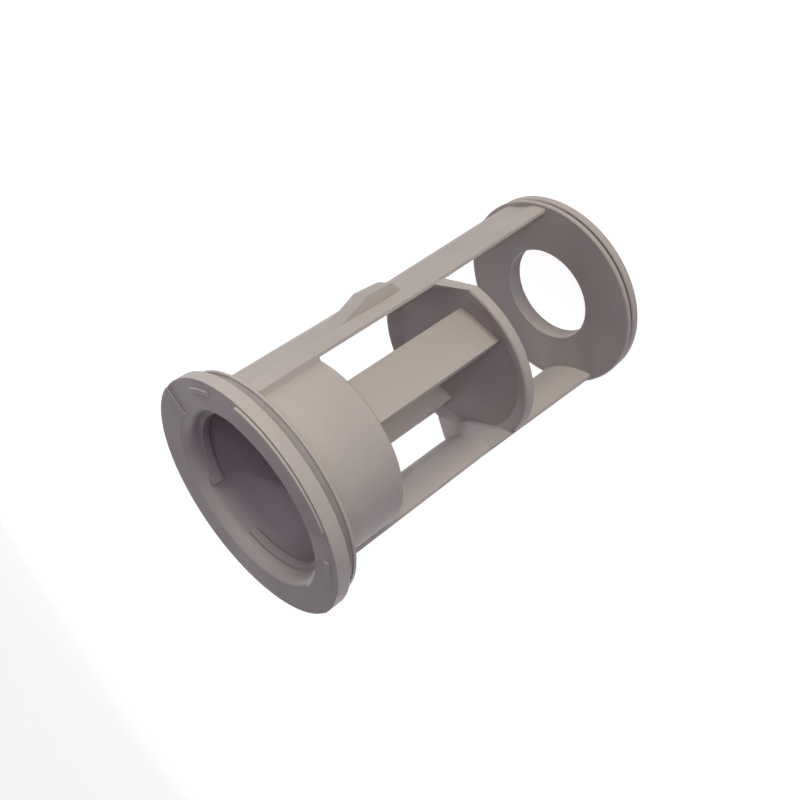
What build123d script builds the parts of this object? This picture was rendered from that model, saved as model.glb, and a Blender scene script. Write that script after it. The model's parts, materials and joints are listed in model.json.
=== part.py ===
from build123d import *
import os
from math import cos, radians, sqrt

os.makedirs("parts", exist_ok=True)

# Pump filter insert of a washing machine, one plastic moulding in millimetres.
# It stands on its far ring with the mouth up: Z is its axis and X runs through the two rails.
# Apart from the latch tab, the pad and the two ribs, it repeats after half a turn about Z.

# Lengths along the axis
length = 110.0           # rear face of the far ring to the middle of the mouth face
flange_t = 3.6           # mouth flange
seal_gap = 2.25          # tapered seat of the large seal ring
lip_t = 0.85             # thin lip behind that seat
cup_run = 20.3           # cup from the lip to its closed back
back_t = 2.0             # closed back of the cup
upper_window = 40.8      # cup back to the middle disc
disc_t = 2.6             # rim of the middle disc
ring_front_t = 1.4       # far ring, flange that faces the mouth
ring_gap = 0.9           # far ring, groove
ring_rear_t = 2.3        # far ring, rear flange

# Radii
flange_r = 31.0          # mouth flange
lip_drop = 1.5           # the lip stands in from the edge of the mouth flange by this much
seal_drop = 3.0          # foot of the tapered seal seat, in from the edge of the mouth flange
lip_step = 0.5           # the lip stands out from the seat by this much
drum_r = 23.6            # outside of the cup
drum_wall = 1.8          # wall of the cup
mouth_flare = 2.6        # the cup opens by this much up to the mouth face
disc_r = 24.8            # middle disc
ring_front_r = 27.3      # far ring, front flange
ring_rear_r = 27.1       # far ring, rear flange
ring_core_r = 25.4       # floor of the far ring's groove
hole_r = 13.4            # round hole in the far ring
edge_soft = 0.3          # small chamfer on the rims

# Mouth face
cam_rise = 0.5           # height of each inclined cam face at its step
cam_angle = 30.0         # where the first step stands
pad_rise = 0.55          # arc pad above the middle of the mouth face
pad_drop = 2.7           # outer edge of the pad, in from the edge of the mouth flange
pad_start = -91.4        # the pad begins here
pad_span = 62.0          # angle that the pad covers
mark_width = 1.3         # short arc ribs
mark_rise = 0.35         # their height above the cam face
mark_drop = 3.0          # their middle line, in from the edge of the mouth flange
mark_span = 15.0         # angle that a rib covers
mark_low = -8.5          # the rib on the low end of the cam begins here
mark_high = 235.5        # the rib beside the step begins here

# Bayonet inside the cup
ledge_depth = 1.5        # how far a ledge stands in from the wall
ledge_t = 2.0            # its thickness along the axis
ledge_start = -43.4      # first ledge begins here
ledge_span = 140.0       # angle that a ledge covers
stop_span = 4.5          # end stop of a ledge
stop_rise = 1.0          # stop above the ledge

# Rails
rail_r = 25.4            # crest of the outer face
rail_in = 21.6           # crest of the rounded inner side
rail_half = 9.3          # half width before the long edges are cut blunt
rail_blunt = 1.15        # the thin long edges are cut back by this much
channel_half = 4.0       # half width of the shallow channel outside
channel_depth = 0.7      # its depth below the crest
flare_run = 45.4         # the rail leans outwards over this length above the ring
flare_out = 1.0          # by this much

# Latch tab, on the rail towards +X only
tab_width = 5.4
tab_top = 27.9           # radius of its top beside the ramp
tab_low = 27.3           # radius of its top beside the steep foot
tab_rear = 52.6          # height of the steep foot
tab_steep = 1.8          # run of the steep foot
tab_flat = 7.7           # run of the top
tab_ramp = 10.2          # run of the long ramp

# Bars between the cup and the middle disc
bar_width = 12.9
bar_t = 1.8
bar_dist = 16.7          # outer face to the axis
bar_angle = -41.8        # direction that the outer face looks in
bar_shift = -3.0         # middle of the bar beside the line through the axis

# Middle disc
chord = 20.0             # straight edges of the disc, distance from the axis
tray_depth = 1.2         # depth of the recess towards the mouth
tray_rim = 0.9           # flat rim round the recess
tray_slope = 3.0         # sloping wall round the floor, measured across
rim_round = 0.8          # rounding of the disc's outer rim towards the mouth
wedge_up = 4.8           # top of a sloped flap at the rail, above the disc
wedge_lift = 3.9         # its lower side at the rail, above the disc's lower face

# Levels and radii that follow
flange_z = length - flange_t
seal_z = flange_z - seal_gap
lip_z = seal_z - lip_t
back_z = lip_z - cup_run
disc_top = back_z - upper_window
disc_low = disc_top - disc_t
ring_top = ring_rear_t + ring_gap + ring_front_t
face_z = length - cam_rise / 2
bore_r = drum_r - drum_wall
lip_r = flange_r - lip_drop
seal_r = flange_r - seal_drop
pad_r = flange_r - pad_drop
mark_r = flange_r - mark_drop
top_z = length + pad_rise
low_z = face_z - cam_rise
ledge_r = bore_r - ledge_depth
chord_half = sqrt(disc_r**2 - chord**2)
rail_corner = sqrt(rail_r**2 - rail_half**2)
channel_x = sqrt(rail_r**2 - channel_half**2)


def cam_height(angle, radius):
    """Height of the inclined mouth face at an angle past its step, at a radius."""
    return face_z + cam_rise * (0.5 + 0.5 * cos(radians(angle)) * radius / flange_r)


# Cup with its mouth flange, tapered seal seat and lip, turned about the axis
with BuildPart() as cup:
    with BuildSketch(Plane.XZ):
        with BuildLine():
            flare = TangentArc((bore_r, flange_z), (bore_r + mouth_flare, top_z), tangent=(0, 1))
            Polyline(
                flare @ 1, (flange_r, top_z), (flange_r, flange_z), (seal_r, flange_z),
                (lip_r - lip_step, seal_z), (lip_r, seal_z), (lip_r, lip_z), (drum_r, lip_z),
                (drum_r, back_z), (0, back_z), (0, back_z + back_t), (bore_r, back_z + back_t), flare @ 0,
            )
        make_face()
    revolve(axis=Axis.Z)
    rims = cup.edges().filter_by(GeomType.CIRCLE)
    floor_rim = rims.filter_by(lambda e: abs(e.radius - bore_r) < 0.01).sort_by(Axis.Z)[0]
    lip_rims = rims.filter_by(lambda e: abs(e.radius - lip_r) < 0.01)
    flange_rim = rims.filter_by(lambda e: abs(e.radius - flange_r) < 0.01).sort_by(Axis.Z)[0]
    drum_rims = rims.filter_by(lambda e: abs(e.radius - drum_r) < 0.01)
    chamfer(lip_rims, lip_t / 4)
    chamfer(flange_rim, edge_soft)
    chamfer(drum_rims, 2 * edge_soft)
    chamfer(floor_rim, back_t / 2)

# Space above one half of the mouth face: its lower side slopes down from the step
with BuildPart() as cam:
    with BuildSketch(Plane.XY.offset(low_z)):
        Circle(2 * flange_r)
        Rectangle(4 * flange_r, 2 * flange_r, align=(Align.CENTER, Align.MIN), mode=Mode.INTERSECT)
    extrude(amount=2 * (top_z - low_z))
    slope = Plane(origin=(0, 0, face_z + cam_rise / 2), z_dir=(-cam_rise / (2 * flange_r), 0, 1))
    split(bisect_by=slope, keep=Keep.TOP)

# Sector of the raised arc pad beside the mouth, with a level top
with BuildPart() as pad:
    with BuildSketch(Plane.XZ):
        with Locations((0, low_z)):
            Rectangle(pad_r, 3 * (top_z - low_z), align=(Align.MIN, Align.MIN))
    revolve(axis=Axis.Z, revolution_arc=pad_span)

# Short arc ribs on the mouth face, one low and one high on the cam
with BuildPart() as mark_lower:
    with BuildSketch(Plane.XZ):
        with Locations((mark_r, low_z)):
            rise = cam_height(mark_low - 180 - cam_angle, mark_r) + mark_rise - low_z
            Rectangle(mark_width, rise, align=(Align.CENTER, Align.MIN))
    revolve(axis=Axis.Z, revolution_arc=mark_span)

with BuildPart() as mark_upper:
    with BuildSketch(Plane.XZ):
        with Locations((mark_r, low_z)):
            rise = cam_height(mark_high - 180 - cam_angle, mark_r) + mark_rise - low_z
            Rectangle(mark_width, rise, align=(Align.CENTER, Align.MIN))
    revolve(axis=Axis.Z, revolution_arc=mark_span)

# All that is cleared away above the mouth face, round the pad and the ribs
with BuildPart() as clearing:
    with PolarLocations(0, 2, start_angle=cam_angle):
        add(cam.part)
    with PolarLocations(0, 1, start_angle=pad_start):
        add(pad.part, mode=Mode.SUBTRACT)
    with PolarLocations(0, 1, start_angle=mark_low):
        add(mark_lower.part, mode=Mode.SUBTRACT)
    with PolarLocations(0, 1, start_angle=mark_high):
        add(mark_upper.part, mode=Mode.SUBTRACT)

# Bayonet ledge under the mouth, with the stop at its end
with BuildPart() as ledge:
    with BuildSketch(Plane.XZ):
        with Locations((ledge_r, flange_z - ledge_t)):
            Rectangle(ledge_depth + drum_wall / 2, ledge_t, align=(Align.MIN, Align.MIN))
    revolve(axis=Axis.Z, revolution_arc=ledge_span)
with BuildPart() as stop:
    with BuildSketch(Plane.XZ):
        with Locations((ledge_r, flange_z - ledge_t)):
            Rectangle(ledge_depth + drum_wall / 2, ledge_t + stop_rise, align=(Align.MIN, Align.MIN))
    revolve(axis=Axis.Z, revolution_arc=stop_span)

# Section of a rail: crowned outer face with a shallow channel, rounded inner side
with BuildSketch() as rail_shape:
    with BuildLine():
        side = RadiusArc((rail_corner, -rail_half), (channel_x, -channel_half), -rail_r)
        ThreePointArc(side @ 1, (rail_r - channel_depth, 0), (channel_x, channel_half))
        RadiusArc((channel_x, channel_half), (rail_corner, rail_half), -rail_r)
        ThreePointArc((rail_corner, rail_half), (rail_in, 0), (rail_corner, -rail_half))
    make_face()
    chamfer(rail_shape.vertices().group_by(Axis.Y)[0] + rail_shape.vertices().group_by(Axis.Y)[-1], rail_blunt)

# Rail: straight above, leaning outwards near the ring, cut free of the cup's inside
with BuildPart() as rail:
    with BuildSketch(Plane.XY.offset(ring_top + flare_run)):
        add(rail_shape.sketch)
    extrude(amount=lip_z + lip_t / 2 - ring_top - flare_run)
    with BuildSketch(Plane.XY.offset(ring_top + flare_run)):
        add(rail_shape.sketch)
    extrude(amount=flare_run + ring_front_t / 2, dir=(flare_out, 0, -flare_run))
    with BuildSketch(Plane.XY.offset(back_z + back_t / 2)):
        Circle(bore_r + drum_wall / 2)
    extrude(amount=length - back_z, mode=Mode.SUBTRACT)

# Latch tab: long ramp towards the mouth, nearly level top, steep foot towards the ring
with BuildPart() as tab:
    with BuildSketch(Plane.XZ):
        with BuildLine():
            foot = rail_r - 2 * channel_depth
            Polyline(
                (foot, tab_rear), (rail_r - channel_depth, tab_rear), (tab_low, tab_rear + tab_steep),
                (tab_top, tab_rear + tab_steep + tab_flat),
                (rail_r - channel_depth, tab_rear + tab_steep + tab_flat + tab_ramp),
                (foot, tab_rear + tab_steep + tab_flat + tab_ramp), close=True,
            )
        make_face()
    extrude(amount=tab_width / 2, both=True)
    fillet(tab.edges().filter_by(Axis.Y).sort_by(Axis.X)[-2:], edge_soft)

# Middle disc: a round plate with two straight edges and a round tray with a sloping wall
with BuildPart() as disc:
    with BuildSketch(Plane.XY.offset(disc_low)):
        Circle(disc_r)
        Rectangle(2 * chord, 2 * disc_r, mode=Mode.INTERSECT)
    extrude(amount=disc_t)
    fillet(disc.edges().group_by(Axis.Z)[-1].filter_by(GeomType.CIRCLE), rim_round)
    with BuildSketch(Plane.XY.offset(disc_top - tray_depth)):
        Circle(disc_r - tray_rim - tray_slope)
    with BuildSketch(Plane.XY.offset(disc_top)):
        Circle(disc_r - tray_rim)
    loft(mode=Mode.SUBTRACT)

# Sloped flap that rises from a straight edge of the disc to the rail beside it
with BuildPart() as wedge:
    with BuildSketch(Plane.XZ):
        with BuildLine():
            Polyline(
                (chord - tray_rim, disc_low), (chord, disc_low), (rail_corner, disc_low + wedge_lift),
                (rail_corner, disc_top + wedge_up), (chord, disc_top), (chord, disc_top - tray_depth),
                (chord - tray_rim, disc_top - tray_depth), close=True,
            )
        make_face()
    extrude(amount=chord_half, both=True)
    with BuildSketch(Plane.XY.offset(disc_low)):
        with BuildLine():
            flap_half = rail_half - rail_blunt
            Polyline(
                (chord - tray_rim, -chord_half), (chord, -chord_half), (rail_corner, -flap_half),
                (rail_corner, flap_half), (chord, chord_half), (chord - tray_rim, chord_half), close=True,
            )
        make_face()
    extrude(amount=disc_t + wedge_up, mode=Mode.INTERSECT)

# Far ring: two thin flanges, the groove between them and the hole
with BuildPart() as ring:
    with BuildSketch(Plane.XZ):
        with BuildLine():
            Polyline(
                (hole_r, 0), (ring_rear_r, 0), (ring_rear_r, ring_rear_t), (ring_core_r, ring_rear_t),
                (ring_core_r, ring_rear_t + ring_gap), (ring_front_r, ring_rear_t + ring_gap),
                (ring_front_r, ring_top), (hole_r, ring_top), close=True,
            )
        make_face()
    revolve(axis=Axis.Z)
    rims = ring.edges().filter_by(GeomType.CIRCLE)
    chamfer(rims.filter_by(lambda e: e.radius > ring_core_r + 0.01), edge_soft)

# The moulding: everything above joined into one solid, the repeated forms twice round the axis
with BuildPart() as filter_body:
    add(ring.part)
    with PolarLocations(0, 2):
        add(rail.part)
        add(wedge.part)
    add(tab.part)
    add(disc.part)
    with BuildSketch(Plane.XY.offset(disc_low + disc_t / 4)):
        with PolarLocations(0, 2, start_angle=bar_angle):
            with Locations((bar_dist - bar_t / 2, bar_shift)):
                Rectangle(bar_t, bar_width)
    extrude(amount=upper_window + 3 * disc_t / 4 + back_t / 2)
    add(cup.part)
    with PolarLocations(0, 2, start_angle=ledge_start):
        add(ledge.part)
    with PolarLocations(0, 2, start_angle=ledge_start + ledge_span - stop_span):
        add(stop.part)
    add(clearing.part, mode=Mode.SUBTRACT)

filter_body.part.label = "filter_body"
export_step(filter_body.part, "parts/filter_body.step")
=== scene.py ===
"""Looks of a moulded washing machine filter: plastic finish, two thin trims, floor, lamps and camera."""

import json
import logging
from abc import ABC, abstractmethod
from dataclasses import dataclass
from enum import Enum
from math import cos, pi, radians, sin

import bmesh
import bpy
from mathutils import Matrix, Vector

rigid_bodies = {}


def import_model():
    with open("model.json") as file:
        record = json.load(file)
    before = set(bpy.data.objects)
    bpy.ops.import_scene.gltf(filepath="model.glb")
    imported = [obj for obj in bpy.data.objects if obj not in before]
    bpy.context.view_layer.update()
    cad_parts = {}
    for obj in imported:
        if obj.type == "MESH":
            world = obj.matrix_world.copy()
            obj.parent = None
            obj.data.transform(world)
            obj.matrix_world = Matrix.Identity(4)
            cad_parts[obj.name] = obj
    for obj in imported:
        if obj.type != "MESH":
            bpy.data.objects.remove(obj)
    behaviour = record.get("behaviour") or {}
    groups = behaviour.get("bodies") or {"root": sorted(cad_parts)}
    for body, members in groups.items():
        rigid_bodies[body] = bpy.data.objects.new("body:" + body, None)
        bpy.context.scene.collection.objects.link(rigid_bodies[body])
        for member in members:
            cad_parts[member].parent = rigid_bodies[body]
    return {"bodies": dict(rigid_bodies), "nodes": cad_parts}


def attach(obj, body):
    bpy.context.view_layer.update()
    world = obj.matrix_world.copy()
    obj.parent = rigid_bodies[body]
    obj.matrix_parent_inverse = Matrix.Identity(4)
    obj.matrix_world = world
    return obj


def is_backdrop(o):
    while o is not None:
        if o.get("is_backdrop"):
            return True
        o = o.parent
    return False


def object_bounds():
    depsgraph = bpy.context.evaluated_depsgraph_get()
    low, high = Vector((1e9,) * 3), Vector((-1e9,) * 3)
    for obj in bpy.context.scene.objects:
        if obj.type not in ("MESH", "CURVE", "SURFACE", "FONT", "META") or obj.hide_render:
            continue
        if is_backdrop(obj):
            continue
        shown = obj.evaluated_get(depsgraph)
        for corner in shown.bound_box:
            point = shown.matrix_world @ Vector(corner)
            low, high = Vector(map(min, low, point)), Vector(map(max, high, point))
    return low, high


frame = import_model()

LOG = logging.getLogger("washing_machine_filter")

Colour = tuple[float, float, float]
Point = tuple[float, float, float]
Span = tuple[float, float]
Face = tuple[int, ...]
Socket = bpy.types.NodeSocket

NONE_TO_FULL: Span = (0.0, 1.0)
WHITE: Colour = (1.0, 1.0, 1.0)


class RampBlend(Enum):
    """How a colour ramp passes from one stop to the next."""

    LINEAR = "LINEAR"
    EASE = "EASE"


class LampPlace(Enum):
    """Which lamp of the studio it is."""

    KEY = "key_lamp"
    WARM = "warm_lamp"
    TOP_OF_PICTURE = "upper_lamp"
    CAMERA = "camera_lamp"
    BACK = "back_lamp"
    BACK_RIGHT = "back_right_lamp"
    MOUTH = "mouth_lamp"


def clear_start_objects() -> None:
    """Remove whatever the empty session holds beside the frame's own nodes and bodies."""
    keep = set(frame["nodes"].values()) | set(frame["bodies"].values())
    for thing in list(bpy.data.objects):
        if thing not in keep:
            bpy.data.objects.remove(thing, do_unlink=True)


@dataclass(frozen=True)
class Extent:
    """How far the solid moulding reaches, in metres.

    Args:
        flange: radius of the mouth flange, which is the widest place.
        top: height of the level top of the arc pad, which is the highest place.
    """

    flange: float
    top: float

    @classmethod
    def of(cls, box: tuple[Vector, Vector]) -> "Extent":
        """Read the reach from a box round the solids."""
        high = box[1]
        return cls(flange=high[0], top=high[2])


@dataclass(frozen=True)
class Noise:
    """Grain of one noise texture on the part's own coordinates.

    Args:
        scale: cells to the metre.
        detail: octaves of the noise.
        roughness: how strong the finer octaves are.
    """

    scale: float
    detail: float
    roughness: float


@dataclass(frozen=True)
class Patches:
    """Soft patches: a noise whose middle band is stretched over a range of results.

    Args:
        noise: the noise that is read.
        band: the noise's values that the two ends of the result answer to.
        result: what the low and the high end of the band become.
    """

    noise: Noise
    band: Span
    result: Span


@dataclass
class NodeBench:
    """A small helper that adds and wires shader nodes in one tree.

    Args:
        tree: the node tree that is filled.
        column: place across of the next node.
        step: distance from one node to the next, so that the tree stays readable.
    """

    tree: bpy.types.NodeTree
    column: float = -1600.0
    step: float = 180.0

    def add(self, kind: str, **settings: object) -> bpy.types.ShaderNode:
        """Add one node.

        Args:
            kind: the node's type name.
            settings: properties of the node to set.

        Returns:
            The new node.
        """
        node = self.tree.nodes.new(kind)
        node.location = (self.column, 0.0)
        self.column += self.step
        for name, value in settings.items():
            setattr(node, name, value)
        return node

    def wire(self, source: Socket, target: Socket) -> None:
        """Link one socket to another."""
        self.tree.links.new(source, target)

    def noise(self, coords: Socket, noise: Noise) -> Socket:
        """Add a noise texture.

        Args:
            coords: the coordinates that the noise reads.
            noise: its grain.

        Returns:
            The noise's value socket.
        """
        node = self.add("ShaderNodeTexNoise")
        node.inputs["Scale"].default_value = noise.scale
        node.inputs["Detail"].default_value = noise.detail
        node.inputs["Roughness"].default_value = noise.roughness
        self.wire(coords, node.inputs["Vector"])
        return node.outputs["Fac"]

    def patches(self, coords: Socket, patches: Patches) -> Socket:
        """Add a noise and stretch its middle band."""
        return self.span(self.noise(coords, patches.noise), patches.band, patches.result)

    def ramp(self, factor: Socket, stops: list[tuple[float, Colour]],
             blend: RampBlend = RampBlend.LINEAR) -> Socket:
        """Add a colour ramp.

        Args:
            factor: the value that the ramp reads.
            stops: places and colours, from low to high.
            blend: how the ramp passes between stops.

        Returns:
            The ramp's colour socket.
        """
        node = self.add("ShaderNodeValToRGB")
        node.color_ramp.interpolation = blend.value
        elements = node.color_ramp.elements
        while len(elements) < len(stops):
            elements.new(0.5)
        for element, (place, colour) in zip(elements, stops):
            element.position = place
            element.color = (*colour, 1.0)
        self.wire(factor, node.inputs["Fac"])
        return node.outputs["Color"]

    def mix(self, factor: Socket | float, first: Socket, second: Socket | Colour,
            blend: str = "MIX") -> Socket:
        """Mix two colours.

        Args:
            factor: share of the second colour, a socket or a number.
            first: the first colour's socket.
            second: the second colour's socket, or a plain colour.
            blend: the blend type.

        Returns:
            The mixed colour socket.
        """
        node = self.add("ShaderNodeMix", data_type="RGBA", blend_type=blend)
        if isinstance(factor, float):
            node.inputs["Factor"].default_value = factor
        else:
            self.wire(factor, node.inputs["Factor"])
        self.wire(first, node.inputs["A"])
        if isinstance(second, tuple):
            node.inputs["B"].default_value = (*second, 1.0)
        else:
            self.wire(second, node.inputs["B"])
        return node.outputs["Result"]

    def maths(self, operation: str, first: Socket, second: Socket | float, clamp: bool = False) -> Socket:
        """Combine two values.

        Args:
            operation: the arithmetic to do.
            first: the first value's socket.
            second: the second value, a socket or a number.
            clamp: keep the result between 0 and 1.

        Returns:
            The result's socket.
        """
        node = self.add("ShaderNodeMath", operation=operation, use_clamp=clamp)
        self.wire(first, node.inputs[0])
        if isinstance(second, float):
            node.inputs[1].default_value = second
        else:
            self.wire(second, node.inputs[1])
        return node.outputs["Value"]

    def overlap(self, *masks: Socket) -> Socket:
        """Multiply masks, so that only what lies in all of them is left.

        Args:
            masks: the masks' sockets.

        Returns:
            The product's socket, from 0 to 1.
        """
        result = masks[0]
        for mask in masks[1:]:
            result = self.maths("MULTIPLY", result, mask, clamp=True)
        return result

    def span(self, value: Socket, band: Span, result: Span = NONE_TO_FULL) -> Socket:
        """Map one range of values to another, and hold the ends outside it.

        Args:
            value: the value to map.
            band: the range read, from its first end to its last.
            result: what the two ends become.

        Returns:
            The mapped value's socket.
        """
        node = self.add("ShaderNodeMapRange")
        node.inputs["From Min"].default_value, node.inputs["From Max"].default_value = band
        node.inputs["To Min"].default_value, node.inputs["To Max"].default_value = result
        self.wire(value, node.inputs["Value"])
        return node.outputs["Result"]

    def place(self, coords: Socket) -> tuple[Socket, Socket, Socket]:
        """Split coordinates into x, y and height."""
        node = self.add("ShaderNodeSeparateXYZ")
        self.wire(coords, node.inputs["Vector"])
        return node.outputs["X"], node.outputs["Y"], node.outputs["Z"]

    def radius(self, coords: Socket) -> Socket:
        """Distance of a point from the part's axis.

        Args:
            coords: the part's own coordinates.

        Returns:
            The distance's socket, in metres.
        """
        flat = self.add("ShaderNodeVectorMath", operation="MULTIPLY")
        self.wire(coords, flat.inputs[0])
        flat.inputs[1].default_value = (1.0, 1.0, 0.0)
        length = self.add("ShaderNodeVectorMath", operation="LENGTH")
        self.wire(flat.outputs["Vector"], length.inputs[0])
        return length.outputs["Value"]

    def soft_normal(self, radius: float, samples: int) -> Socket:
        """Add the normal of the shape with its edges rounded by a radius."""
        node = self.add("ShaderNodeBevel", samples=samples)
        node.inputs["Radius"].default_value = radius
        return node.outputs["Normal"]

    def backdrop_rays(self) -> Socket:
        """Add a mask of the rays that show the backdrop to the camera, directly or by gloss or glass."""
        path = self.add("ShaderNodeLightPath")
        seen = self.maths("ADD", path.outputs["Is Camera Ray"], path.outputs["Is Glossy Ray"])
        return self.maths("ADD", seen, path.outputs["Is Transmission Ray"], clamp=True)


@dataclass(frozen=True)
class CloudySkin:
    """The moulding's own colour and gloss, both faintly cloudy.

    Args:
        cool: colour of the cooler clouds.
        body: main colour.
        warm: colour of the warmer clouds.
        clouds: the clouds' noise.
        cloud_places: noise values at which the cool, main and warm colours stand.
        specks: how much fine specks darken or lighten the colour.
        gloss: roughness of the skin, patch by patch.
    """

    cool: Colour = (0.412, 0.367, 0.336)
    body: Colour = (0.432, 0.382, 0.343)
    warm: Colour = (0.446, 0.391, 0.346)
    clouds: Noise = Noise(55.0, 3.0, 0.55)
    cloud_places: Point = (0.30, 0.50, 0.72)
    specks: Patches = Patches(Noise(1500.0, 2.0, 0.6), (0.35, 0.65), (0.975, 1.02))
    gloss: Patches = Patches(Noise(90.0, 3.0, 0.5), (0.30, 0.70), (0.45, 0.60))

    def colour(self, bench: NodeBench, coords: Socket) -> Socket:
        """Cloudy colour with fine specks.

        Args:
            bench: the tree that is filled.
            coords: the part's own coordinates.

        Returns:
            The colour socket.
        """
        stops = list(zip(self.cloud_places, (self.cool, self.body, self.warm)))
        cloudy = bench.ramp(bench.noise(coords, self.clouds), stops, RampBlend.EASE)
        speck = bench.patches(coords, self.specks)
        tint = bench.add("ShaderNodeCombineColor")
        for channel in ("Red", "Green", "Blue"):
            bench.wire(speck, tint.inputs[channel])
        return bench.mix(1.0, cloudy, tint.outputs["Color"], "MULTIPLY")

    def roughness(self, bench: NodeBench, coords: Socket) -> Socket:
        """Roughness of the skin before the worn edges smooth it."""
        return bench.patches(coords, self.gloss)


class Mark(ABC):
    """A tint on part of the skin: painted shade, or worn edges with a painted highlight."""

    colour: Colour

    @abstractmethod
    def mask(self, bench: NodeBench, coords: Socket) -> Socket:
        """Where the mark shows.

        Args:
            bench: the tree that is filled.
            coords: the part's own coordinates.

        Returns:
            The mask's socket, from 0 to 1.
        """


@dataclass(frozen=True)
class WornHighlitEdges(Mark):
    """Outer edges lighter and smoother: wear with a painted edge highlight, broken up in patches.

    Args:
        colour: lighter colour of the worn edges, a painted highlight.
        radius: width over which an edge counts, in metres.
        turn: cosine between the true and the softened normal where the lighter edge begins and where it is
            full.
        wear_and_highlight: how strong the wear and the painted highlight are, patch by patch.
        smoother: how much a fully worn edge loses in roughness.
        samples: rays that look for an edge.
    """

    colour: Colour = (0.540, 0.490, 0.450)
    radius: float = 0.00045
    turn: Span = (0.995, 0.80)
    wear_and_highlight: Patches = Patches(Noise(420.0, 4.0, 0.6), (0.35, 0.70), (0.15, 0.85))
    smoother: float = 0.12
    samples: int = 6

    def mask(self, bench: NodeBench, coords: Socket) -> Socket:
        """Edges found by how far their softened normal turns away."""
        turn = bench.add("ShaderNodeVectorMath", operation="DOT_PRODUCT")
        bench.wire(bench.soft_normal(self.radius, self.samples), turn.inputs[0])
        bench.wire(bench.add("ShaderNodeNewGeometry").outputs["Normal"], turn.inputs[1])
        edge = bench.span(turn.outputs["Value"], self.turn)
        return bench.overlap(edge, bench.patches(coords, self.wear_and_highlight))


@dataclass(frozen=True)
class CornerShade(Mark):
    """Painted shade in inner corners: the skin is darkened where little open space lies before it.

    Args:
        colour: colour of the painted shade.
        distance: how near the next wall has to be, in metres.
        openness: share of open space where the shade begins and where it is full.
        strength: share of the shade's colour where it is full.
        corner_patches: how strong the shade is, patch by patch.
        samples: rays that look for a wall.
    """

    colour: Colour = (0.235, 0.198, 0.195)
    distance: float = 0.0022
    openness: Span = (0.72, 0.20)
    strength: float = 0.55
    corner_patches: Patches = Patches(Noise(160.0, 4.0, 0.6), (0.30, 0.70), (0.35, 1.0))
    samples: int = 6

    def mask(self, bench: NodeBench, coords: Socket) -> Socket:
        """Corners found by how little open space lies before them."""
        near = bench.add("ShaderNodeAmbientOcclusion", samples=self.samples, only_local=True)
        near.inputs["Distance"].default_value = self.distance
        closed = bench.span(near.outputs["AO"], self.openness, (0.0, self.strength))
        return bench.overlap(closed, bench.patches(coords, self.corner_patches))


@dataclass(frozen=True)
class SeatBandShade(Mark):
    """Painted shade on the band behind the mouth flange, where its large seal sits.

    Args:
        extent: how far the moulding reaches.
        colour: colour of the painted shade on the band.
        drop: how far the band's upper end lies below the moulding's top.
        run: height of the band.
        inset: how far the band's widest place stands in from the flange's edge.
        depth: how far the band reaches in from there.
        fade: distance over which its outer ends fade.
        inner_fade: distance over which its inner end fades.
        seat_patches: how strong the shade is, patch by patch.
    """

    extent: Extent
    colour: Colour = (0.262, 0.226, 0.212)
    drop: float = 0.00413
    run: float = 0.00230
    inset: float = 0.00188
    depth: float = 0.0030
    fade: float = 0.0001
    inner_fade: float = 0.0005
    seat_patches: Patches = Patches(Noise(240.0, 3.0, 0.5), (0.30, 0.70), (0.80, 1.0))

    def mask(self, bench: NodeBench, coords: Socket) -> Socket:
        """The band between two heights and two radii."""
        height = bench.place(coords)[2]
        radius = bench.radius(coords)
        high = self.extent.top - self.drop
        low = high - self.run
        outer = self.extent.flange - self.inset
        inner = outer - self.depth
        return bench.overlap(
            bench.span(height, (low, low + self.fade)),
            bench.span(height, (high, high - self.fade)),
            bench.span(radius, (outer + self.fade, outer)),
            bench.span(radius, (inner, inner + self.inner_fade)),
            bench.patches(coords, self.seat_patches),
        )


@dataclass(frozen=True)
class StepShade(Mark):
    """Painted shade along the two steps of the mouth face.

    Args:
        extent: how far the moulding reaches.
        colour: colour of the painted shade.
        angle: direction of the line through both steps, in degrees.
        full: distance from that line up to which the shade is full.
        clear: distance from that line at which it ends.
        strength: share of the shade's colour where it is full.
        inset: how far the steps' inner ends stand in from the flange's edge.
        drop: how far the steps' feet lie below the moulding's top.
        inner_fade: distance over which the line's inner end fades.
        foot_fade: height over which its foot fades.
    """

    extent: Extent
    colour: Colour = CornerShade.colour
    angle: float = 30.0
    full: float = 0.0001
    clear: float = 0.0003
    strength: float = 0.75
    inset: float = 0.0074
    drop: float = 0.00155
    inner_fade: float = 0.0006
    foot_fade: float = 0.0002

    def mask(self, bench: NodeBench, coords: Socket) -> Socket:
        """A thin line through the axis, on the mouth face only."""
        x, y, height = bench.place(coords)
        turn = radians(self.angle)
        along_x = bench.maths("MULTIPLY", x, sin(turn))
        along_y = bench.maths("MULTIPLY", y, cos(turn))
        beside = bench.maths("ABSOLUTE", bench.maths("SUBTRACT", along_x, along_y), 0.0)
        inner = self.extent.flange - self.inset
        foot = self.extent.top - self.drop
        return bench.overlap(
            bench.span(beside, (self.clear, self.full), (0.0, self.strength)),
            bench.span(bench.radius(coords), (inner, inner + self.inner_fade)),
            bench.span(height, (foot, foot + self.foot_fade)),
        )


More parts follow.
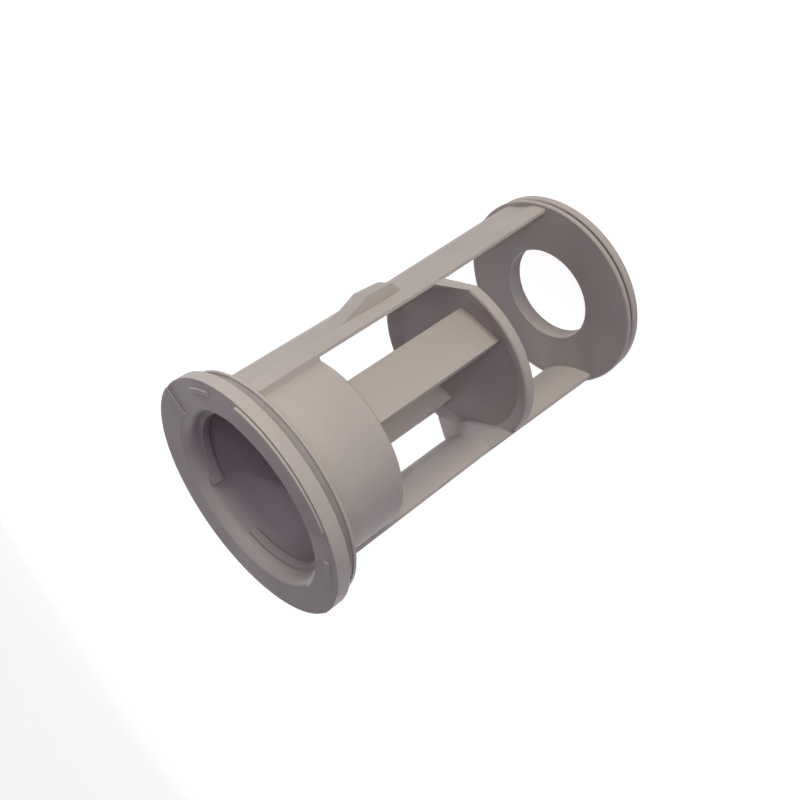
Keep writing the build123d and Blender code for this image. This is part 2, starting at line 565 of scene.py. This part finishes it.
@dataclass(frozen=True)
class MouldGrain:
    """Fine grain that the mould leaves on the skin, over softened edges.

    Args:
        fine: noise of the fine grain.
        fine_share: how much the fine grain counts.
        broad: noise of the broad waves under it.
        broad_share: how much the waves count.
        depth: depth of the grain in metres.
        strength: how strongly it bends the light.
        edge_radius: width over which edges are softened, in metres.
        samples: rays that look for an edge.
    """

    fine: Noise = Noise(2200.0, 3.0, 0.6)
    fine_share: float = 0.6
    broad: Noise = Noise(260.0, 2.0, 0.5)
    broad_share: float = 0.9
    depth: float = 0.000035
    strength: float = 0.55
    edge_radius: float = 0.000315
    samples: int = 6

    def normal(self, bench: NodeBench, coords: Socket) -> Socket:
        """Normal of the grained skin.

        Args:
            bench: the tree that is filled.
            coords: the part's own coordinates.

        Returns:
            The normal socket.
        """
        fine = bench.maths("MULTIPLY", bench.noise(coords, self.fine), self.fine_share)
        broad = bench.maths("MULTIPLY", bench.noise(coords, self.broad), self.broad_share)
        bump = bench.add("ShaderNodeBump")
        bump.inputs["Strength"].default_value = self.strength
        bump.inputs["Distance"].default_value = self.depth
        bench.wire(bench.maths("ADD", fine, broad), bump.inputs["Height"])
        bench.wire(bench.soft_normal(self.edge_radius, self.samples), bump.inputs["Normal"])
        return bump.outputs["Normal"]


@dataclass(frozen=True)
class MouldedGrey:
    """Warm grey moulded plastic with a fine grain, faint clouds, worn edges with a painted highlight, and
    painted shade in corners, on the seal seat and along the steps.

    Args:
        extent: how far the moulding reaches.
        name: name of the material.
        ior: index of refraction of the plastic.
        specular: specular level of its skin.
    """

    extent: Extent
    name: str = "warm_grey_moulded_plastic"
    ior: float = 1.49
    specular: float = 0.4

    def make(self) -> bpy.types.Material:
        """Build the material.

        Returns:
            The finished material.
        """
        material = bpy.data.materials.new(self.name)
        material.use_nodes = True
        material.node_tree.nodes.clear()
        bench = NodeBench(material.node_tree)
        coords = bench.add("ShaderNodeTexCoord").outputs["Object"]
        skin = CloudySkin()
        edges = WornHighlitEdges()
        # worn edges, lighter and smoother: wear with a painted edge highlight
        worn_and_highlit = edges.mask(bench, coords)
        colour = bench.mix(worn_and_highlit, skin.colour(bench, coords), edges.colour)
        # painted shade: inner corners, the seal seat band and the steps of the mouth face are darkened
        for mark in (CornerShade(), SeatBandShade(self.extent), StepShade(self.extent)):
            colour = bench.mix(mark.mask(bench, coords), colour, mark.colour)
        smoother = bench.maths("MULTIPLY", worn_and_highlit, edges.smoother)
        roughness = bench.maths("SUBTRACT", skin.roughness(bench, coords), smoother, clamp=True)
        shader = bench.add("ShaderNodeBsdfPrincipled")
        shader.inputs["IOR"].default_value = self.ior
        shader.inputs["Specular IOR Level"].default_value = self.specular
        bench.wire(colour, shader.inputs["Base Color"])
        bench.wire(roughness, shader.inputs["Roughness"])
        bench.wire(MouldGrain().normal(bench, coords), shader.inputs["Normal"])
        output = bench.add("ShaderNodeOutputMaterial")
        bench.wire(shader.outputs["BSDF"], output.inputs["Surface"])
        return material


@dataclass(frozen=True)
class PaleFloor:
    """Pale floor that shows white to the camera and keeps a soft shadow.

    Args:
        name: name of the material.
        colour: colour of the floor.
        glow: what is added for the camera only, so that the floor shows white.
    """

    name: str = "white_floor"
    colour: Colour = (0.80, 0.80, 0.80)
    glow: float = 0.86

    def make(self) -> bpy.types.Material:
        """Build the material.

        Returns:
            The finished material.
        """
        material = bpy.data.materials.new(self.name)
        material.use_nodes = True
        material.node_tree.nodes.clear()
        bench = NodeBench(material.node_tree)
        seen = bench.backdrop_rays()
        matte = bench.add("ShaderNodeBsdfDiffuse")
        matte.inputs["Color"].default_value = (*self.colour, 1.0)
        light = bench.add("ShaderNodeEmission")
        light.inputs["Color"].default_value = (*WHITE, 1.0)
        bench.wire(bench.maths("MULTIPLY", seen, self.glow), light.inputs["Strength"])
        both = bench.add("ShaderNodeAddShader")
        bench.wire(matte.outputs["BSDF"], both.inputs[0])
        bench.wire(light.outputs["Emission"], both.inputs[1])
        output = bench.add("ShaderNodeOutputMaterial")
        bench.wire(both.outputs["Shader"], output.inputs["Surface"])
        return material


@dataclass
class FilterBody:
    """The one-piece moulding: cup, bars, disc, rails and far ring.

    Args:
        node: name of the moulding's node in the frame.
    """

    node: str = "filter_body"

    def dress(self, material: bpy.types.Material) -> bpy.types.Object:
        """Give the moulding its finish.

        Args:
            material: the finish.

        Returns:
            The moulding's object.
        """
        body = frame["nodes"][self.node]
        for place in body.material_slots:
            place.material = material
        if not body.material_slots:
            body.data.materials.append(material)
        return body


@dataclass
class Trim(ABC):
    """A thin strip of the moulding that lies on the solid and moves with it.

    Args:
        extent: how far the moulding reaches.
        name: name of the piece.
        slot: name of a material slot in the record; not used.
    """

    extent: Extent
    name: str = "trim"
    slot: str = "filter_body"

    @abstractmethod
    def shape(self) -> tuple[list[Point], list[Face]]:
        """Work out the strip's mesh.

        Returns:
            The points and the faces of the strip.
        """

    def fit(self, material: bpy.types.Material) -> bpy.types.Object:
        """Make the strip's mesh, dress it and let it ride on the moulding.

        Args:
            material: the moulding's finish.

        Returns:
            The strip's object.
        """
        points, faces = self.shape()
        mesh = bpy.data.meshes.new(self.name)
        mesh.from_pydata(points, [], faces)
        mesh.materials.append(material)
        bm = bmesh.new()
        bm.from_mesh(mesh)
        bmesh.ops.recalc_face_normals(bm, faces=bm.faces)
        bm.to_mesh(mesh)
        bm.free()
        piece = bpy.data.objects.new(self.name, mesh)
        bpy.context.scene.collection.objects.link(piece)
        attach(piece, "root")
        return piece


@dataclass
class PadEdge(Trim):
    """Outer border of the raised arc pad beside the mouth.

    Args:
        name: name of the piece.
        start: direction in which the pad begins, in degrees.
        span: angle that it covers.
        inset: how far the border's outer edge stands in from the flange's edge.
        solid_inset: how far the edge of the solid pad stands in.
        lap_inset: how far the border's inner edge, which laps over the solid pad, stands in.
        lift: how far the border's top clears the solid pad's, so that no two faces lie in one plane.
        foot_drop: how far its foot reaches below the pad's top, into the mouth flange.
        bevel: small bevel along its outer edge.
        steps: pieces that the arc is divided into.
    """

    name: str = "mouth_pad_edge"
    start: float = -91.4
    span: float = 62.0
    inset: float = 0.0007
    solid_inset: float = 0.0027
    lap_inset: float = 0.0038
    lift: float = 0.000006
    foot_drop: float = 0.00095
    bevel: float = 0.00016
    steps: int = 62

    def shape(self) -> tuple[list[Point], list[Face]]:
        """Sweep the border's section along the arc and close both ends.

        Returns:
            The points and the faces of the border.
        """
        outer = self.extent.flange - self.inset
        solid = self.extent.flange - self.solid_inset
        lap = self.extent.flange - self.lap_inset
        top = self.extent.top + self.lift
        foot = self.extent.top - self.foot_drop
        section = [(lap, top), (solid, top), (outer - self.bevel, top),
                   (outer, top - self.bevel), (outer, foot)]
        wide = len(section)
        points: list[Point] = []
        for step in range(self.steps + 1):
            angle = radians(self.start + self.span * step / self.steps)
            points += [(radius * cos(angle), radius * sin(angle), height) for radius, height in section]
        faces: list[Face] = []
        for step in range(self.steps):
            low = step * wide
            faces += [(low + i, low + i + 1, low + wide + i + 1, low + wide + i) for i in range(wide - 1)]
        for step in (0, self.steps):
            angle = radians(self.start + self.span * step / self.steps)
            points.append((solid * cos(angle), solid * sin(angle), foot))
            low = step * wide
            faces.append((low + 1, low + 2, low + 3, low + 4, len(points) - 1))
        return points, faces


@dataclass
class RailRoots(Trim):
    """Four strips that close the narrow gap between the long edges of the rails and the cup.

    Args:
        name: name of the piece.
        cup_inset: how far the cup's outer wall stands in from the flange's edge.
        edge_y: place across the rail of a strip's visible face, at the rail's blunt edge.
        edge_depth: depth of that face, in from the cup's outer wall.
        hidden_y: place of its other end, hidden in the rail and the cup's wall.
        hidden_top: how far that end's outer side lies in from the cup's outer wall.
        hidden_low: how far its inner side lies in.
        low_drop: how far the strips' lower ends lie below the moulding's top.
        high_drop: how far their upper ends, inside the lip, lie below it.
    """

    name: str = "rail_roots"
    cup_inset: float = 0.0074
    edge_y: float = 0.008215
    edge_depth: float = 0.0016
    hidden_y: float = 0.00620
    hidden_top: float = 0.0006
    hidden_low: float = 0.0012
    low_drop: float = 0.02695
    high_drop: float = 0.00695

    def shape(self) -> tuple[list[Point], list[Face]]:
        """Raise the same section beside each of the four long edges.

        Returns:
            The points and the faces of the four strips.
        """
        cup = self.extent.flange - self.cup_inset
        section = [(cup, self.edge_y), (cup - self.edge_depth, self.edge_y),
                   (cup - self.hidden_low, self.hidden_y), (cup - self.hidden_top, self.hidden_y)]
        count = len(section)
        points: list[Point] = []
        faces: list[Face] = []
        for side_x, side_y in ((1, 1), (1, -1), (-1, 1), (-1, -1)):
            first = len(points)
            for drop in (self.low_drop, self.high_drop):
                points += [(side_x * x, side_y * y, self.extent.top - drop) for x, y in section]
            faces += [(first + i, first + (i + 1) % count, first + count + (i + 1) % count, first + count + i)
                      for i in range(count)]
            faces += [tuple(range(first, first + count)), tuple(range(first + count, first + 2 * count))]
        return points, faces


@dataclass(frozen=True)
class Lamp:
    """One soft square lamp.

    Args:
        place: which lamp of the studio it is.
        azimuth: direction from the part to the lamp, in degrees round the part's axis from +X.
        elevation: its height above the horizon, in degrees.
        level: brightness that it gives a white face turned to it.
        colour: colour of its light.
        distance: distance from the point that it looks at, in metres.
        size: edge of the lamp in metres.
        aim: the point that it looks at.
    """

    place: LampPlace
    azimuth: float
    elevation: float
    level: float
    colour: Colour
    distance: float = 0.9
    size: float = 0.35
    aim: Point = (0.0, 0.0, 0.055)

    def source(self) -> bpy.types.Light:
        """Make the lamp's light, as strong as the level asks for at its distance.

        Returns:
            A soft square light.
        """
        data = bpy.data.lights.new(self.place.value, "AREA")
        data.shape = "SQUARE"
        data.size = self.size
        data.color = self.colour
        data.energy = self.level * pi ** 2 * self.distance ** 2
        return data

    def hang(self) -> bpy.types.Object:
        """Place the lamp and turn it to the point that it looks at.

        Returns:
            The lamp's object.
        """
        lamp = bpy.data.objects.new(self.place.value, self.source())
        bpy.context.scene.collection.objects.link(lamp)
        turn = radians(self.azimuth)
        rise = radians(self.elevation)
        direction = Vector((cos(rise) * cos(turn), cos(rise) * sin(turn), sin(rise)))
        lamp.location = Vector(self.aim) + direction * self.distance
        lamp.rotation_euler = direction.to_track_quat("Z", "Y").to_euler()
        return lamp


@dataclass(frozen=True)
class NarrowLamp(Lamp):
    """A small lamp with a narrow beam.

    Args:
        cone: full angle of the beam in degrees.
        blend: how softly the beam ends, from 0 to 1.
    """

    cone: float = 6.0
    blend: float = 1.0

    def source(self) -> bpy.types.Light:
        """Make the lamp's light, as strong as the level asks for at its distance.

        Returns:
            A light with a narrow beam.
        """
        data = bpy.data.lights.new(self.place.value, "SPOT")
        data.spot_size = radians(self.cone)
        data.spot_blend = self.blend
        data.shadow_soft_size = self.size / 2
        data.color = self.colour
        data.energy = self.level * 4.0 * pi ** 2 * self.distance ** 2
        return data


@dataclass
class Studio:
    """Floor, sky and lamps round the part.

    Args:
        floor_half: half the floor's edge in metres.
        sky_level: strength of the even light from all round.
        sky_colour: colour of that light.
        lamps: the lamps; the last one lights the inside of the cup through its mouth.
    """

    floor_half: float = 6.0
    sky_level: float = 0.07
    sky_colour: Colour = (0.86, 0.66, 1.0)
    lamps: tuple[Lamp, ...] = (
        Lamp(LampPlace.KEY, -60.0, 4.0, 0.38, (0.93, 0.98, 0.96)),
        Lamp(LampPlace.WARM, -30.0, 4.0, 0.38, (1.0, 0.97, 0.62)),
        Lamp(LampPlace.TOP_OF_PICTURE, 30.0, 4.0, 0.31, (0.76, 0.80, 1.0)),
        Lamp(LampPlace.CAMERA, -60.0, 30.0, 0.21, (0.68, 0.63, 1.0)),
        Lamp(LampPlace.BACK, 158.0, 1.7, 0.48, (0.98, 0.97, 1.0)),
        Lamp(LampPlace.BACK_RIGHT, 95.0, 1.7, 0.24, (0.98, 0.97, 1.0)),
        NarrowLamp(LampPlace.MOUTH, -15.0, 27.0, 0.38, (0.93, 0.88, 1.0), distance=0.6, size=0.04,
                   aim=(-0.0180, 0.0100, 0.0940), cone=3.6),
    )

    def lay_floor(self) -> bpy.types.Object:
        """Lay the floor that the part stands on.

        Returns:
            The floor's object.
        """
        half = self.floor_half
        mesh = bpy.data.meshes.new("studio_floor")
        corners = [(-half, -half, 0.0), (half, -half, 0.0), (half, half, 0.0), (-half, half, 0.0)]
        mesh.from_pydata(corners, [], [(0, 1, 2, 3)])
        mesh.materials.append(PaleFloor().make())
        floor = bpy.data.objects.new("studio_floor", mesh)
        bpy.context.scene.collection.objects.link(floor)
        floor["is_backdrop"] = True
        return floor

    def light_sky(self) -> bpy.types.World:
        """Make the even light: white where the camera sees it, a tinted glow for the part.

        Returns:
            The scene's world.
        """
        world = bpy.data.worlds.new("studio_sky")
        world.use_nodes = True
        world.node_tree.nodes.clear()
        bench = NodeBench(world.node_tree)
        both = bench.add("ShaderNodeMixShader")
        bench.wire(bench.backdrop_rays(), both.inputs[0])
        for socket, colour, level in ((1, self.sky_colour, self.sky_level), (2, WHITE, 1.0)):
            light = bench.add("ShaderNodeBackground")
            light.inputs["Color"].default_value = (*colour, 1.0)
            light.inputs["Strength"].default_value = level
            bench.wire(light.outputs["Background"], both.inputs[socket])
        output = bench.add("ShaderNodeOutputWorld")
        bench.wire(both.outputs["Shader"], output.inputs["Surface"])
        bpy.context.scene.world = world
        return world

    def set_up(self) -> list[bpy.types.Object]:
        """Build floor, sky and lamps.

        Returns:
            The floor and the lamps.
        """
        self.light_sky()
        return [self.lay_floor(), *(lamp.hang() for lamp in self.lamps)]


@dataclass
class PictureCamera:
    """The camera, close to the part and rolled so that the mouth points to the lower left.

    Args:
        place: where the camera stands, in metres.
        right: direction of the picture's right side.
        up: direction of the picture's top.
        lens: focal length in millimetres.
        sensor: width of the sensor in millimetres.
        clip_start: nearest distance that the camera shows, in metres.
    """

    place: Point = (0.1012, -0.1982, 0.1931)
    right: Point = (-0.3106, -0.6313, -0.7106)
    up: Point = (0.8641, 0.1240, -0.4877)
    lens: float = 46.94
    sensor: float = 36.0
    clip_start: float = 0.01

    def set_up(self) -> bpy.types.Object:
        """Make the camera and hand it to the scene.

        Returns:
            The camera's object.
        """
        data = bpy.data.cameras.new("picture_camera")
        data.lens = self.lens
        data.sensor_width = self.sensor
        data.sensor_fit = "HORIZONTAL"
        data.clip_start = self.clip_start
        camera = bpy.data.objects.new("picture_camera", data)
        bpy.context.scene.collection.objects.link(camera)
        right = Vector(self.right).normalized()
        back = right.cross(Vector(self.up)).normalized()
        up = back.cross(right)
        turn = Matrix((right, up, back)).transposed().to_4x4()
        camera.matrix_world = Matrix.Translation(Vector(self.place)) @ turn
        bpy.context.scene.camera = camera
        return camera


def main() -> None:
    """Build the scene in order and report each piece."""
    logging.basicConfig(level=logging.INFO, format="%(name)s: %(message)s")
    clear_start_objects()
    cad_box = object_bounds()
    extent = Extent.of(cad_box)
    bpy.context.scene.view_settings.view_transform = "Standard"
    plastic = MouldedGrey(extent).make()
    body = FilterBody().dress(plastic)
    LOG.info("dressed %s with %s", body.name, plastic.name)
    for trim in (PadEdge(extent), RailRoots(extent)):
        LOG.info("fitted %s", trim.fit(plastic).name)
    for thing in Studio().set_up():
        LOG.info("placed %s", thing.name)
    camera = PictureCamera().set_up()
    LOG.info("camera %s with a lens of %.1f mm", camera.name, camera.data.lens)


if __name__ == "__main__":
    main()
